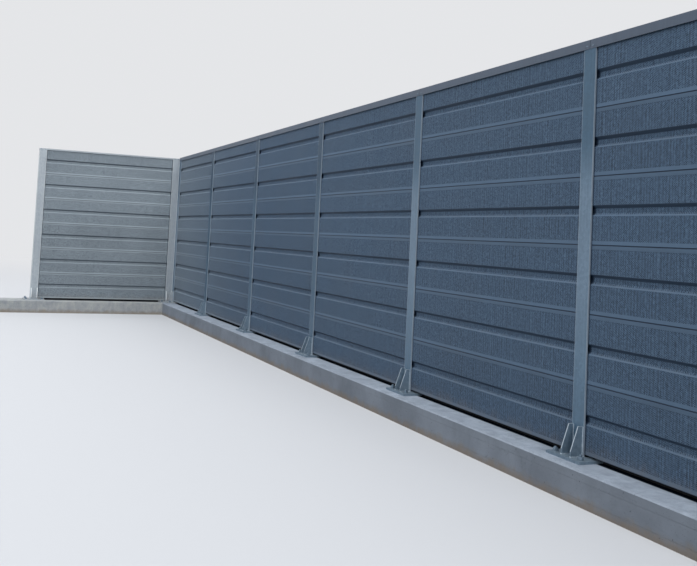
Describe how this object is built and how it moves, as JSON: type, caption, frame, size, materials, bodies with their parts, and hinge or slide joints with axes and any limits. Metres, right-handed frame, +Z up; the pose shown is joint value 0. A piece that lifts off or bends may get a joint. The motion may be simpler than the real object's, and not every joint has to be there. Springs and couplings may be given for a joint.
{
  "type": "noise barrier section",
  "caption": "Metal noise barrier on a concrete curb: H posts, grooved acoustic panels stacked between them, folded caps, and a return bay at the corner.",
  "frame": {"origin": "on the underside of the concrete curb, under the centre of the corner post of the long run", "axes": "+X along the long run away from the corner, -Y towards the side that the return bay encloses, +Z up"},
  "size_m": [17.54, 4.04, 3.293],
  "materials": {
    "galvanised_steel": "dull hot-dip galvanised",
    "panel_sheet": "matt coated perforated sheet",
    "return_panel_sheet": "matt coated perforated sheet",
    "cap_sheet": "matt coated folded sheet",
    "concrete": "formed concrete with a trowelled top",
    "seat_rubber": "black pads, seals and strips"
  },
  "bodies": {
    "root": {"curb_long": "concrete", "curb_return": "concrete", "post_long_0": "galvanised_steel", "post_long_1": "galvanised_steel", "post_long_2": "galvanised_steel", "post_long_3": "galvanised_steel", "post_long_4": "galvanised_steel", "post_long_5": "galvanised_steel", "post_long_6": "galvanised_steel", "post_return_0": "galvanised_steel", "post_return_1": "galvanised_steel", "foot_corner": "galvanised_steel", "foot_long_1": "galvanised_steel", "foot_long_2": "galvanised_steel", "foot_long_3": "galvanised_steel", "foot_long_4": "galvanised_steel", "foot_long_5": "galvanised_steel", "foot_long_6": "galvanised_steel", "foot_return_1": "galvanised_steel", "seats_long": "seat_rubber", "seats_return": "seat_rubber", "seals_long": "seat_rubber", "seals_return": "seat_rubber", "strips_long": "seat_rubber", "strip_return": "seat_rubber", "panels_long_course_1": "panel_sheet", "panels_long_course_2": "panel_sheet", "panels_long_course_3": "panel_sheet", "panels_long_course_4": "panel_sheet", "panels_long_course_5": "panel_sheet", "panels_long_course_6": "panel_sheet", "panel_return_course_1": "return_panel_sheet", "panel_return_course_2": "return_panel_sheet", "panel_return_course_3": "return_panel_sheet", "panel_return_course_4": "return_panel_sheet", "panel_return_course_5": "return_panel_sheet", "panel_return_course_6": "return_panel_sheet", "cap_bay_1": "cap_sheet", "cap_bay_2": "cap_sheet", "cap_bay_3": "cap_sheet", "cap_bay_4": "cap_sheet", "cap_bay_5": "cap_sheet", "cap_bay_6": "cap_sheet", "cap_return": "galvanised_steel"}
  },
  "joints": []
}
